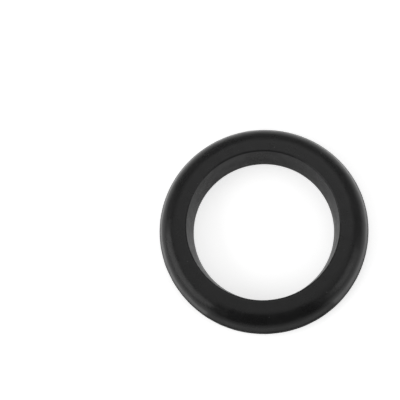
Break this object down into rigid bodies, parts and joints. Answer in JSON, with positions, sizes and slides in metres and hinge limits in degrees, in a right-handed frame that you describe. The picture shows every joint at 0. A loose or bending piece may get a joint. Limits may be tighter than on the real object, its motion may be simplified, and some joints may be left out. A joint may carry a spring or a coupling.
{
  "type": "flush valve seal",
  "caption": "Thick black rubber sealing ring with a flat seat, a rounded shoulder above a rim band, and a slightly flared bore, pressed between a flush valve and a cistern's outlet.",
  "frame": {"origin": "middle of the flat seat face, on the bore's axis", "axes": "+Z along the bore's axis, from the flat seat towards the crown"},
  "size_m": [0.084, 0.084, 0.0125],
  "materials": {
    "seal_rubber": "satin"
  },
  "bodies": {
    "root": {"seal_ring": "seal_rubber"}
  },
  "joints": []
}
